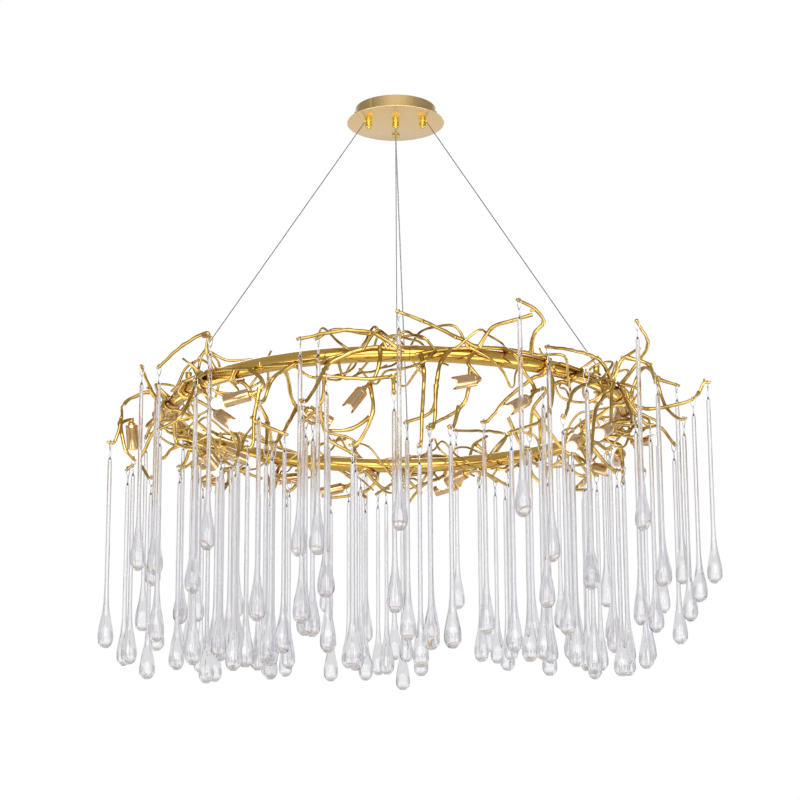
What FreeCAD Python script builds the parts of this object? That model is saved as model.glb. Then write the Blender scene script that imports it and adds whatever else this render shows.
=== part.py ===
# Branch chandelier: a round canopy carries a tube ring on three steel wires.
# Ten cast branches hug the ring and carry lamps and glass drops.
# Units are millimetres, +Z is up, the origin is the canopy's centre on the ceiling.
import FreeCAD, Part
import math
import os
from FreeCAD import Vector

# Canopy
PLATE_DIA = 200.0
PLATE_THICK = 2.0
DRUM_DIA = 165.0
DRUM_HEIGHT = 29.0
DRUM_WALL = 1.5
FIT_GAP = 0.3

# Bracket on the ceiling, inside the drum
BRACKET_WIDTH = 22.0
BRACKET_THICK = 2.0
BRACKET_EAR = 14.0
BRACKET_END_GAP = 1.3
BRACKET_SLOT_PITCH = 70.0
BRACKET_SLOT_LENGTH = 14.0
BRACKET_SLOT_DIA = 5.0
SCREW_DIA = 4.0
SCREW_HEAD_DIA = 8.0
SCREW_HEAD_THICK = 2.5
SCREW_TIP = 0.7
TERMINAL_SIZE = (34.0, 18.0, 13.0)
TERMINAL_PLACE = (0.0, 34.0)

# Wire grippers under the plate
GRIPPER_DIA = 14.0
GRIPPER_LENGTH = 20.0
GRIPPER_X = 55.0
GRIPPER_Y = -29.0
GRIPPER_STUD_DIA = 6.0
GRIPPER_STUD_TIP = 1.0
GRIPPER_LIP = 1.5
GRIPPER_BORE_DEPTH = 8.0
NUT_ACROSS = 10.0
NUT_THICK = 4.0
BUTTON_DIA = 8.0
BUTTON_FLANGE_DIA = 10.0
BUTTON_FLANGE = 1.2
BUTTON_PROUD = 3.0
WIRE_EXIT_DROP = 6.0
WIRE_DIA = 1.6
WIRE_SIDES = 6

# Clear supply lead and its bush
LEAD_DIA = 3.0
LEAD_EDGE = 31.0
LEAD_BEND = 5.0
BUSH_DIA = 16.0
BUSH_THICK = 2.5

# Ring
RING_RADIUS = 447.0
RING_DROP = 649.0
TUBE_DIA = 30.0
SECTION_COUNT = 10
TUBE_SIDES = 10
SECTION_SPANS = 8
FIRST_MODULE_ANGLE = -87.0
ANCHOR_ANGLES = (-63.0, 58.0, 180.0)
ANCHOR_DIA = 13.0
ANCHOR_BASE_DIA = 19.0
ANCHOR_HEIGHT = 21.0
ANCHOR_FOOT = 2.5
LEAD_INLET_ANGLE = 177.0
INLET_DIA = 11.0
INLET_HEIGHT = 12.0

# Cast branches
STEM_RADIUS = 3.8
TWIG_RADIUS = 3.4
TIP_RADIUS = 2.6
STEM_SEAT = 20.4
STEM_END_GAP = 18.0
TWIG_ROOT_STEP = 10.0
TWIG_SEAT = 22.5
STEM_SIDES = 4
TWIG_SIDES = 3
PEG_LENGTH = 13.0
PEG_HOOK_AT = 6.5
STEEP_TIP = 0.6

# Lamps
SOCKET_DIA = 24.0
SOCKET_LENGTH = 51.0
SOCKET_NECK = 8.0
SOCKET_SIDES = 6
BULB_DIA = 25.0
BULB_NECK_DIA = 14.0
BULB_PROUD = 30.0
BULB_SIDES = 5

# Glass drops and their wire hooks
HOOK_WIRE = 0.8
HOOK_HALF_WIDTH = 5.6
HOOK_DROP = 12.0
HOOK_CLEARANCE = 0.3
GLASS_LENGTH = 388.0
ROD_HEAD_DIA = 8.4
ROD_DIA = 7.2
TAPER_HEIGHT = 100.0
BELLY_DIA = 30.0
BELLY_HEIGHT = 24.0
GLASS_FOOT_DIA = 15.0
GLASS_SIDES = 5
HOOK_SIDES = 3

# Turned parts too small to need more faces than this
TURNED_SIDES = 8

# Six shapes of branch. "wind" turns the stem round the tube, in degrees from its outer side,
# at evenly spaced stations. A twig starts at a station, "stem 3", or at a point of an earlier
# twig, "twig 1 3" for the second twig's fourth.
# A point is (along the ring, out from the tube's centre, up), or hugs the tube where it is
# (along the ring, degrees round the tube). A twig ends in a fixed drop, a swinging drop,
# a lamp that faces the last point, or nothing.
SHAPES = {
    "low_loop": {
        "wind": (20, 30, 20, 10, 5, -5),
        "twigs": (
            ("stem 3", ((72, 46, 30), (112, 72, 62)), "drop"),
            ("stem 3", ((26, 46, 34), (32, 92, 10), (80, 102, -46), (82, 116, -108)), "swing"),
            ("twig 1 3", ((86, 92, -128), (74, 72, -148)), "drop"),
            ("stem 5", ((112, 40, 24), (88, 36, 36)), "drop"),
            ("stem 0", ((-128, -20), (-126, -60), (-120, -100), (-110, -60, -62), (-76, -92, -108)),
             "drop"),
            ("twig 4 4", ((-150, -50, -148),), "drop"),
            ("stem 1", ((-96, 52, 10), (-130, 82, -20)), "drop"),
            ("stem 1", ((-66, 46, -30), (-86, 74, -80), (-100, 110, -112)), "drop"),
            ("twig 7 2", ((-50, 62, -122), (-28, 44, -158)), "swing"),
            ("stem 4", ((92, -25), (98, -65), (104, -105), (120, -58, -76), (94, -88, -122)), "drop"),
            ("twig 9 4", ((66, -40, -100), (48, -22, -148)), "drop"),
            ("twig 1 3", ((62, 80, -52), (56, 76, -100)), "lamp"),
            ("twig 10 1", ((40, -60, -110), (0, -80, -130)), "lamp"),
        ),
    },
    "crook": {
        "wind": (10, 20, 20, 15, -5, -30),
        "twigs": (
            ("stem 3", ((28, 34, 42), (46, 48, 68), (-10, 58, 58), (-78, 72, 28)), "swing"),
            ("twig 0 2", ((66, 58, 52),), "drop"),
            ("stem 2", ((0, 46, -40), (0, 72, -88), (-34, 94, -106)), "swing"),
            ("twig 2 2", ((-22, 60, -128), (30, 52, -152)), "drop"),
            ("stem 5", ((162, 34, -48), (142, 44, -66), (100, 62, -76)), "lamp"),
            ("twig 4 1", ((150, 44, -108), (146, 46, -166)), "drop"),
            ("twig 5 1", ((204, 22, -146),), "drop"),
            ("stem 3", ((50, 50, -6), (50, 84, -30)), "drop"),
            ("stem 2", ((26, 30, -46), (60, 34, -86), (104, 42, -116)), "lamp"),
            ("stem 1", ((-88, -20), (-84, -60), (-78, -100), (-62, -62, -56), (-84, -96, -94)), "drop"),
            ("twig 9 4", ((-22, -76, -104), (0, -58, -148)), "drop"),
            ("stem 4", ((78, -45), (72, -85), (74, -125), (92, -62, -82), (70, -98, -130)), "drop"),
            ("twig 11 4", ((118, -36, -148),), "drop"),
        ),
    },
    "long_arch": {
        "wind": (-25, -38, -35, -10, 20, 0),
        "twigs": (
            ("stem 5", ((85, 34, 26), (40, 50, 32), (-45, 60, 20)), "drop"),
            ("twig 0 1", ((10, 36, 38), (-22, 34, 24)), "drop"),
            ("stem 3", ((0, 30, -24), (-8, 56, -60), (-22, 84, -104)), "drop"),
            ("twig 2 1", ((-12, -75), (-20, -110), (-32, -30, -74), (-80, -46, -106)), "drop"),
            ("twig 3 3", ((-35, -70, -135), (25, -100, -165)), "swing"),
            ("stem 4", ((88, 28, -25), (78, 30, -56), (60, 42, -80), (45, 62, -110)), "lamp"),
            ("stem 5", ((120, 34, -46), (80, 50, -60), (4, 78, -58)), "drop"),
            ("twig 5 2", ((78, 44, -120), (50, 40, -178)), "swing"),
            ("twig 7 1", ((40, 36, -148), (-2, 42, -150)), "drop"),
            ("twig 6 1", ((112, 31, -80),), "drop"),
            ("stem 1", ((-90, -70), (-96, -110), (-110, -56, -64), (-92, -90, -96)), "drop"),
            ("twig 10 3", ((-120, -6, -150),), "drop"),
            ("stem 1", ((-94, 46, -44), (-104, 64, -90)), "drop"),
            ("twig 10 3", ((-84, -66, -78), (-40, -90, -100)), "lamp"),
        ),
    },
    "high_hook": {
        "wind": (-20, 10, 35, 55, 50, 25),
        "twigs": (
            ("stem 2", ((-62, 30, 26), (-120, 52, 46), (-165, 70, 60)), "drop"),
            ("stem 4", ((78, 44, 46), (86, 60, 62), (64, 72, 80), (25, 84, 90)), "drop"),
            ("stem 2", ((0, 36, 46), (35, 46, 62), (62, 64, 72)), "bare"),
            ("stem 3", ((42, 38, 0), (60, 36, -30), (75, 44, -60), (56, 52, -86), (8, 66, -118)), "lamp"),
            ("stem 2", ((-42, 32, -22), (-32, 44, -56), (-80, 62, -72)), "lamp"),
            ("stem 1", ((-88, 26, -22), (-95, 28, -55), (-100, 2, -106), (-150, -34, -122)), "drop"),
            ("twig 5 2", ((-104, 28, -146),), "drop"),
            ("stem 0", ((-118, 32, -40), (-120, 14, -120), (-122, 6, -172)), "drop"),
            ("twig 4 1", ((-46, 14, -95), (-104, -36, -128)), "drop"),
            ("twig 8 1", ((-68, 22, -142),), "drop"),
            ("stem 5", ((120, 34, -58), (96, 42, -112), (24, 44, -150)), "drop"),
            ("twig 10 2", ((100, 22, -152),), "swing"),
            ("twig 3 3", ((72, 84, -70),), "drop"),
            ("stem 5", ((124, -15), (118, -60), (112, -105), (84, -62, -56), (60, -98, -92)), "swing"),
            ("twig 13 4", ((128, -62, -142),), "drop"),
        ),
    },
    "tall_fork": {
        "wind": (15, 5, -10, 15, 40, 25),
        "twigs": (
            ("stem 3", ((-40, 36, 28), (-125, 46, 26), (-186, 51, 20)), "drop"),
            ("stem 4", ((104, 50, 62), (74, 78, 82), (-15, 102, 100)), "swing"),
            ("stem 3", ((36, 42, 46), (58, 68, 72)), "bare"),
            ("stem 2", ((-60, 30, -20), (-105, 30, -44), (-160, 64, -112)), "drop"),
            ("stem 2", ((-20, 30, -34), (-68, 46, -78), (-104, 64, -176)), "swing"),
            ("stem 3", ((6, 24, -92), (-60, 38, -125)), "lamp"),
            ("stem 4", ((62, 30, -12), (42, 58, -66)), "drop"),
            ("twig 6 1", ((76, 70, -74),), "drop"),
            ("twig 2 1", ((50, 88, 34), (42, 104, 2)), "drop"),
            ("stem 5", ((124, -15), (118, -60), (112, -105), (92, -60, -68), (110, -94, -110)), "drop"),
            ("twig 9 4", ((138, -14, -142),), "drop"),
            ("stem 1", ((-88, -35), (-94, -80), (-104, -115), (-120, -60, -60), (-92, -94, -100)), "drop"),
            ("twig 11 4", ((-62, -24, -148),), "drop"),
            ("stem 1", ((-100, 52, -6), (-128, 86, -30)), "drop"),
            ("twig 9 4", ((60, -70, -90), (20, -60, -110)), "lamp"),
        ),
    },
    "wide_reach": {
        "wind": (25, 15, 15, 25, 5, -5),
        "twigs": (
            ("stem 0", ((-112, 44, 66), (-72, 64, 66), (-75, 86, -5), (-90, 114, -52)), "swing"),
            ("twig 0 2", ((-60, 114, 44),), "drop"),
            ("stem 1", ((-74, 52, -8), (-82, 144, 12), (-84, 162, 40)), "drop"),
            ("twig 2 2", ((-120, 140, -8),), "drop"),
            ("stem 3", ((-10, 40, -40), (-66, 72, -62), (-30, 104, -106)), "drop"),
            ("stem 4", ((92, 50, 34), (96, 112, 20)), "drop"),
            ("stem 4", ((96, 48, -30), (120, 74, -78), (136, 92, -110)), "swing"),
            ("twig 6 2", ((44, 48, -158),), "drop"),
            ("stem 2", ((-34, -25), (-40, -65), (-46, -105), (-66, -62, -70), (-44, -94, -114)), "drop"),
            ("twig 8 4", ((-104, -30, -142),), "drop"),
            ("stem 4", ((86, -25), (84, -65), (80, -105), (66, -62, -62), (90, -96, -106)), "drop"),
            ("twig 10 4", ((118, -24, -146),), "drop"),
            ("twig 6 1", ((60, 62, -50), (20, 68, -66)), "lamp"),
            ("twig 10 4", ((30, -58, -84), (-10, -52, -104)), "lamp"),
        ),
    },
}

# The ten branches in order round the ring, each with the way it faces and the share of its
# shape's depth that its low twigs reach down to
BRANCHES = (
    ("low_loop", 1, 0.8),
    ("crook", 1, 1.0),
    ("long_arch", 1, 1.0),
    ("high_hook", 1, 1.0),
    ("tall_fork", 1, 1.0),
    ("wide_reach", 1, 0.65),
    ("crook", -1, 0.6),
    ("tall_fork", -1, 0.45),
    ("high_hook", -1, 0.45),
    ("long_arch", -1, 0.5),
)

UP = Vector(0, 0, 1)
MODULE_ANGLE = 360.0 / SECTION_COUNT
PLATE_TOP = -DRUM_HEIGHT
PLATE_FACE = PLATE_TOP - PLATE_THICK
LEAD_Y = PLATE_DIA / 2 - LEAD_EDGE
RING_Z = -RING_DROP
TUBE_RADIUS = TUBE_DIA / 2
TUBE_TOP_CORNER = math.pi * (0.5 + 1 / TUBE_SIDES)
TUBE_TOP = TUBE_RADIUS * math.cos(math.pi / TUBE_SIDES)


def on_ring(angle, out, up):
    """A point at an angle round the ring, out from and above the tube's centre line."""
    reach = RING_RADIUS + out
    turn = math.radians(angle)
    return Vector(reach * math.sin(turn), -reach * math.cos(turn), RING_Z + up)


def flat_faces(loops):
    """A solid skinned over loops of equal corner count, closed at both ends."""
    faces = []
    sides = len(loops[0])
    for lower, upper in zip(loops, loops[1:]):
        for i in range(sides):
            j = (i + 1) % sides
            faces.extend(quad(lower[i], lower[j], upper[j], upper[i]))
    faces.append(Part.Face(Part.makePolygon(loops[0] + loops[0][:1])))
    faces.append(Part.Face(Part.makePolygon(loops[-1] + loops[-1][:1])))
    solid = Part.makeSolid(Part.makeShell(faces))
    if solid.Volume < 0:
        solid.reverse()
    return solid


def quad(a, b, c, d):
    """One flat face through four corners, or two triangles where they aren't in one plane."""
    normal = (c - a).cross(d - b)
    if abs((b - a).dot(normal)) < 1e-8 * normal.Length:
        return [Part.Face(Part.makePolygon([a, b, c, d, a]))]
    return [
        Part.Face(Part.makePolygon([a, b, c, a])),
        Part.Face(Part.makePolygon([a, c, d, a])),
    ]


def loop_round(centre, axis, radius, sides, across):
    """The corners of a regular polygon round an axis, the first one towards across."""
    u = across - axis * across.dot(axis)
    u.normalize()
    v = axis.cross(u)
    turns = [2 * math.pi * i / sides for i in range(sides)]
    return [centre + u * (radius * math.cos(a)) + v * (radius * math.sin(a)) for a in turns]


def bent_bar(points, radii, sides, across=UP):
    """A tapered bar of polygonal section through points, its last edge towards across."""
    loops = []
    side = across
    for i in reversed(range(len(points))):
        before = points[max(i - 1, 0)]
        after = points[min(i + 1, len(points) - 1)]
        run_in = (points[i] - before) if i else (after - points[i])
        run_out = (after - points[i]) if i < len(points) - 1 else run_in
        axis = run_in.normalize() + run_out.normalize()
        axis.normalize()
        if abs(axis.dot(side)) > 0.95 * side.Length:
            side = Vector(axis.y, axis.z, axis.x)
        loop = loop_round(points[i], axis, radii[i], sides, side)
        loops.append(loop)
        side = loop[0] - points[i]
    return flat_faces(loops)


def turned(rings, sides, foot=None, axis=UP, across=None):
    """A polygonal turning: rings are (radius, height) pairs along the axis from its foot."""
    foot = foot or Vector(0, 0, 0)
    if across is None:
        across = Vector(1, 0, 0) if abs(axis.x) < 0.9 else Vector(0, 1, 0)
    return flat_faces([loop_round(foot + axis * h, axis, r, sides, across) for r, h in rings])


def cylinder(dia, length, foot, axis=UP):
    return Part.makeCylinder(dia / 2, length, foot, axis)


def mounting_bracket():
    """Flat bar on the ceiling with two slots, and an ear down at each end for a side screw."""
    length = DRUM_DIA - 2 * DRUM_WALL - 2 * BRACKET_END_GAP
    bar = Part.makeBox(length, BRACKET_WIDTH, BRACKET_THICK,
                       Vector(-length / 2, -BRACKET_WIDTH / 2, -BRACKET_THICK))
    for side in (-1, 1):
        x = side * (length / 2 - BRACKET_THICK / 2) - BRACKET_THICK / 2
        ear = Part.makeBox(BRACKET_THICK, BRACKET_WIDTH, BRACKET_EAR,
                           Vector(x, -BRACKET_WIDTH / 2, -BRACKET_EAR))
        bar = bar.fuse(ear)
        bar = bar.cut(slot_cutter(side * BRACKET_SLOT_PITCH / 2))
    bar = bar.cut(screw_hole(SCREW_DIA))
    return bar.removeSplitter()


def slot_cutter(x):
    """The tool that cuts one slot in the bracket, long way along X."""
    radius = BRACKET_SLOT_DIA / 2
    half = BRACKET_SLOT_LENGTH / 2 - radius
    depth = BRACKET_THICK * 3
    low = -BRACKET_THICK * 2
    tool = Part.makeBox(2 * half, 2 * radius, depth, Vector(x - half, -radius, low))
    for end in (-half, half):
        tool = tool.fuse(cylinder(2 * radius, depth, Vector(x + end, 0, low)))
    return tool


def screw_hole(dia):
    """A bore along X through both ears or both sides of the drum."""
    z = -(BRACKET_THICK + BRACKET_EAR) / 2
    ends = ((dia / 2, 0), (dia / 2, 2 * DRUM_DIA))
    return turned(ends, TURNED_SIDES, Vector(-DRUM_DIA, 0, z), Vector(1, 0, 0))


def canopy_drum():
    outer = cylinder(DRUM_DIA, DRUM_HEIGHT, Vector(0, 0, -DRUM_HEIGHT))
    inner = cylinder(DRUM_DIA - 2 * DRUM_WALL, DRUM_HEIGHT, Vector(0, 0, -DRUM_HEIGHT))
    return outer.cut(inner).cut(screw_hole(SCREW_DIA + FIT_GAP))


def canopy_screws():
    """A screw each side, through the drum's wall into the bracket's ear."""
    z = -(BRACKET_THICK + BRACKET_EAR) / 2
    shank_length = DRUM_WALL + BRACKET_END_GAP + BRACKET_THICK + SCREW_TIP
    screws = []
    for side in (-1, 1):
        axis = Vector(side, 0, 0)
        tip = Vector(side * (DRUM_DIA / 2 - shank_length), 0, z)
        top = shank_length + SCREW_HEAD_THICK
        shank = turned(((SCREW_DIA / 2, 0), (SCREW_DIA / 2, shank_length)),
                       TURNED_SIDES, tip, axis)
        head = turned(((SCREW_HEAD_DIA / 2, shank_length), (SCREW_HEAD_DIA / 2, top)),
                      TURNED_SIDES, tip, axis)
        screws.append(shank.fuse(head))
    return screws


def gripper_places():
    return {"left": -GRIPPER_X, "rear": 0.0, "right": GRIPPER_X}


def canopy_plate():
    """The wide disc, with a hole for each gripper's stud and one for the supply lead."""
    plate = cylinder(PLATE_DIA, PLATE_THICK, Vector(0, 0, PLATE_FACE))
    for x in gripper_places().values():
        plate = plate.cut(round_hole(GRIPPER_STUD_DIA / 2 + FIT_GAP, x, GRIPPER_Y))
    return plate.cut(round_hole(LEAD_DIA / 2 + FIT_GAP, 0, LEAD_Y))


def round_hole(radius, x, y):
    """The tool for a hole down through the plate."""
    return turned(((radius, 0), (radius, PLATE_THICK)), TURNED_SIDES, Vector(x, y, PLATE_FACE))


def gripper_bodies():
    """Gold cylinders hung from the plate, bored from below for a sprung button."""
    bodies = []
    cavity_dia = BUTTON_FLANGE_DIA + 2 * FIT_GAP
    mouth_dia = BUTTON_DIA + 2 * FIT_GAP
    for x in gripper_places().values():
        foot = Vector(x, GRIPPER_Y, PLATE_FACE - GRIPPER_LENGTH)
        body = turned(((GRIPPER_DIA / 2, 0), (GRIPPER_DIA / 2, GRIPPER_LENGTH)),
                      TURNED_SIDES, foot)
        stud_length = PLATE_THICK + NUT_THICK + GRIPPER_STUD_TIP
        stud = turned(((GRIPPER_STUD_DIA / 2, 0), (GRIPPER_STUD_DIA / 2, stud_length)),
                      TURNED_SIDES, foot + UP * GRIPPER_LENGTH)
        mouth = turned(((mouth_dia / 2, 0), (mouth_dia / 2, GRIPPER_LIP)), TURNED_SIDES, foot)
        cavity = turned(((cavity_dia / 2, GRIPPER_LIP), (cavity_dia / 2, GRIPPER_BORE_DEPTH)),
                        TURNED_SIDES, foot)
        bodies.append(body.fuse(stud).cut(mouth).cut(cavity))
    return bodies


def gripper_nuts():
    nuts = []
    radius = NUT_ACROSS / math.sqrt(3)
    for x in gripper_places().values():
        seat = Vector(x, GRIPPER_Y, PLATE_TOP)
        nut = turned(((radius, 0), (radius, NUT_THICK)), 6, seat)
        bore = GRIPPER_STUD_DIA / 2 + FIT_GAP
        nuts.append(nut.cut(turned(((bore, 0), (bore, NUT_THICK)), TURNED_SIDES, seat)))
    return nuts


def gripper_button(x):
    """A push button, kept in by a flange above the body's lip."""
    foot = Vector(x, GRIPPER_Y, PLATE_FACE - GRIPPER_LENGTH - BUTTON_PROUD)
    stem_top = BUTTON_PROUD + GRIPPER_LIP + FIT_GAP
    stem = turned(((BUTTON_DIA / 2, 0), (BUTTON_DIA / 2, stem_top)), TURNED_SIDES, foot)
    flange = turned(((BUTTON_FLANGE_DIA / 2, stem_top),
                     (BUTTON_FLANGE_DIA / 2, stem_top + BUTTON_FLANGE)), TURNED_SIDES, foot)
    return stem.fuse(flange)


def lead_bush():
    """A flat ring under the plate where the supply lead leaves it."""
    foot = Vector(0, LEAD_Y, PLATE_FACE - BUSH_THICK)
    bore = LEAD_DIA / 2 + FIT_GAP
    ring = turned(((BUSH_DIA / 2, 0), (BUSH_DIA / 2, BUSH_THICK)), TURNED_SIDES, foot)
    return ring.cut(turned(((bore, 0), (bore, BUSH_THICK)), TURNED_SIDES, foot))


def terminal_block():
    length, width, height = TERMINAL_SIZE
    x, y = TERMINAL_PLACE
    return Part.makeBox(length, width, height, Vector(x - length / 2, y - width / 2, PLATE_TOP))


def ring_tube():
    """The ring as ten curved lengths of tube, butted end to end."""
    count = SECTION_COUNT * SECTION_SPANS
    start = FIRST_MODULE_ANGLE - MODULE_ANGLE / 2
    loops = [tube_corners(start + 360.0 * i / count) for i in range(count)]
    loops.append(loops[0])
    firsts = range(0, count, SECTION_SPANS)
    return [flat_faces(loops[first:first + SECTION_SPANS + 1]) for first in firsts]


def tube_corners(angle):
    """The tube's section at an angle round the ring, with a flat on top."""
    turns = [TUBE_TOP_CORNER + 2 * math.pi * i / TUBE_SIDES for i in range(TUBE_SIDES)]
    return [on_ring(angle, TUBE_RADIUS * math.cos(t), TUBE_RADIUS * math.sin(t)) for t in turns]


def anchor_top(angle):
    return on_ring(angle, 0, TUBE_TOP + ANCHOR_HEIGHT)


def ring_anchors():
    """A flared boss on the tube's top for each wire."""
    rings = (
        (ANCHOR_BASE_DIA / 2, 0),
        (ANCHOR_BASE_DIA / 2, ANCHOR_FOOT),
        (ANCHOR_DIA / 2, 2 * ANCHOR_FOOT),
        (ANCHOR_DIA / 2, ANCHOR_HEIGHT),
    )
    return [turned(rings, TURNED_SIDES, on_ring(a, 0, TUBE_TOP)) for a in ANCHOR_ANGLES]


def lead_inlet():
    """The small boss where the supply lead enters the ring."""
    rings = ((INLET_DIA / 2, 0), (INLET_DIA / 2, INLET_HEIGHT))
    return turned(rings, TURNED_SIDES, on_ring(LEAD_INLET_ANGLE, 0, TUBE_TOP))


def round_wire(points, dia):
    return bent_bar(points, [dia / 2] * len(points), WIRE_SIDES)


def wire_start(x):
    """Where a wire leaves the side of its gripper, towards its anchor."""
    side = (x > 0) - (x < 0)
    reach = GRIPPER_DIA / 2
    if side:
        return Vector(x + side * reach, GRIPPER_Y, PLATE_FACE - WIRE_EXIT_DROP)
    return Vector(0, GRIPPER_Y + reach, PLATE_FACE - WIRE_EXIT_DROP)


def wires():
    names = ("left", "right", "rear")
    places = gripper_places()
    return {n: round_wire([wire_start(places[n]), anchor_top(a)], WIRE_DIA)
            for n, a in zip(names, ANCHOR_ANGLES)}


def power_lead():
    """Down through the plate and its bush, then straight to the ring's inlet."""
    start = Vector(0, LEAD_Y, PLATE_TOP)
    below = Vector(0, LEAD_Y, PLATE_FACE - BUSH_THICK - LEAD_BEND)
    end = on_ring(LEAD_INLET_ANGLE, 0, TUBE_TOP + INLET_HEIGHT)
    return round_wire([start, below, end + UP * LEAD_BEND, end], LEAD_DIA)


def stem_points(angle, facing, wind):
    """Stations of a stem that winds round the tube, at the middle of its module."""
    length = math.radians(MODULE_ANGLE) * RING_RADIUS - STEM_END_GAP
    points = []
    for i, turn in enumerate(wind):
        along = length * (i / (len(wind) - 1) - 0.5)
        out, up = (STEM_SEAT * f(math.radians(turn)) for f in (math.cos, math.sin))
        points.append(local_point(angle, facing, (along, out, up)))
    return points


def local_point(angle, facing, place):
    if len(place) == 2:
        along, turn = place
        out, up = (TWIG_SEAT * f(math.radians(turn)) for f in (math.cos, math.sin))
    else:
        along, out, up = place
    return on_ring(angle + facing * math.degrees(along / RING_RADIUS), out, up)


def level(direction):
    """The horizontal part of a direction, as a unit vector."""
    flat = Vector(direction.x, direction.y, 0)
    return flat.normalize()


def past(path, index):
    """A root a little along from a bend, where the bar's faces are whole."""
    onward = path[index + 1] if index + 1 < len(path) else path[index - 1]
    return path[index] + (onward - path[index]).normalize() * TWIG_ROOT_STEP


def drawn_up(place, depth):
    """A twig's point, at that share of its depth where it lies below the tube's centre."""
    if len(place) == 2 or place[2] > 0:
        return place
    along, out, up = place
    return along, out, up * depth


def twig_root(start, stem, paths):
    """Where a twig grows from, as its shape's text names it."""
    parent, *twig, station = start.split()
    return past(paths[int(twig[0])] if twig else stem, int(station))


def branch_layout(index):
    """Bars, drops and lamps of one branch, as points and directions."""
    shape, facing, depth = BRANCHES[index]
    angle = FIRST_MODULE_ANGLE + index * MODULE_ANGLE
    stem = stem_points(angle, facing, SHAPES[shape]["wind"])
    bars = [(stem, [STEM_RADIUS] * len(stem))]
    paths = []
    drops = []
    lamps = []
    for start, places, end in SHAPES[shape]["twigs"]:
        path = [twig_root(start, stem, paths)]
        path.extend(local_point(angle, facing, drawn_up(place, depth)) for place in places)
        if end == "lamp":
            facing_point = path.pop()
            back = path.pop()
            way = (facing_point - back).normalize()
            lamps.append((back, way))
            path.extend([back - way * SOCKET_NECK, back])
        if end in ("drop", "swing"):
            last = path[-1] - path[-2]
            way = level(last)
            if abs(last.z) > STEEP_TIP * last.Length:
                path.append(path[-1] + way * PEG_LENGTH)
            hook = path[-1] - (path[-1] - path[-2]).normalize() * PEG_HOOK_AT
            drops.append((hook, way, end))
        paths.append(path)
        taper = [TWIG_RADIUS + (TIP_RADIUS - TWIG_RADIUS) * i / (len(path) - 1)
                 for i in range(len(path))]
        bars.append((path, taper))
    return {"bars": bars, "drops": drops, "lamps": lamps}


def branch_casting(layout):
    """One casting: its stem with every twig grown out of it."""
    stem, *twigs = layout["bars"]
    solids = [bent_bar(*twig, TWIG_SIDES) for twig in twigs]
    return bent_bar(*stem, STEM_SIDES).multiFuse(solids)


def socket(lamp):
    back, way = lamp
    return turned(((SOCKET_DIA / 2, 0), (SOCKET_DIA / 2, SOCKET_LENGTH)), SOCKET_SIDES, back, way)


def bulb(lamp):
    back, way = lamp
    rings = (
        (BULB_NECK_DIA / 2, 0),
        (BULB_DIA / 2, BULB_PROUD * 0.45),
        (BULB_NECK_DIA / 2, BULB_PROUD),
    )
    return turned(rings, BULB_SIDES, back + way * SOCKET_LENGTH, way)


def hook_wire(hook, way):
    """A bent wire over the twig, ending on the glass head."""
    across = way.cross(UP)
    top = TIP_RADIUS / math.sqrt(1 - STEEP_TIP ** 2) + HOOK_CLEARANCE + HOOK_WIRE
    corners = ((0, -HOOK_DROP), (-HOOK_HALF_WIDTH, top), (HOOK_HALF_WIDTH, top))
    points = [hook + across * a + UP * b for a, b in corners]
    return bent_bar(points, [HOOK_WIRE] * len(points), HOOK_SIDES, way)


def glass_drop(hook, way):
    """A long glass rod that swells to a drop at its foot."""
    rings = (
        (GLASS_FOOT_DIA / 2, 0),
        (BELLY_DIA / 2, BELLY_HEIGHT),
        (ROD_DIA / 2, TAPER_HEIGHT),
        (ROD_HEAD_DIA / 2, GLASS_LENGTH),
    )
    foot = hook - UP * (HOOK_DROP + GLASS_LENGTH)
    return turned(rings, GLASS_SIDES, foot, UP, way)


def save(name, solids):
    shape = solids if isinstance(solids, Part.Shape) else Part.makeCompound(solids)
    shape.exportStep("parts/" + name + ".step")


def main():
    os.makedirs("parts", exist_ok=True)
    save("mounting_bracket", mounting_bracket())
    save("canopy_drum", canopy_drum())
    save("canopy_screws", canopy_screws())
    save("canopy_plate", canopy_plate())
    save("terminal_block", terminal_block())
    save("wire_grippers", gripper_bodies())
    save("gripper_nuts", gripper_nuts())
    for name, x in gripper_places().items():
        save("gripper_button_" + name, gripper_button(x))
    save("lead_bush", lead_bush())
    save("power_lead", power_lead())
    for name, wire in wires().items():
        save("suspension_wire_" + name, wire)
    save("ring_tube", ring_tube())
    save("ring_anchors", ring_anchors())
    save("lead_inlet", lead_inlet())

    sockets = []
    bulbs = []
    swing_count = 0
    for i in range(SECTION_COUNT):
        layout = branch_layout(i)
        number = "%02d" % (i + 1)
        save("branch_" + number, branch_casting(layout))
        sockets.extend(socket(lamp) for lamp in layout["lamps"])
        bulbs.extend(bulb(lamp) for lamp in layout["lamps"])
        fixed = []
        for hook, way, kind in layout["drops"]:
            pair = [hook_wire(hook, way), glass_drop(hook, way)]
            if kind == "swing":
                swing_count += 1
                save("swing_drop_%02d" % swing_count, pair)
            else:
                fixed.extend(pair)
        save("fixed_drops_" + number, fixed)
    save("lamp_sockets", sockets)
    save("lamp_bulbs", bulbs)


if __name__ == "__main__":
    main()
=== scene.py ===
"""Looks of the branch chandelier: gold twigs, glass drops, lamps, canopy, light and camera."""
import math
import random

import bpy
from mathutils import Matrix, Vector

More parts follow.
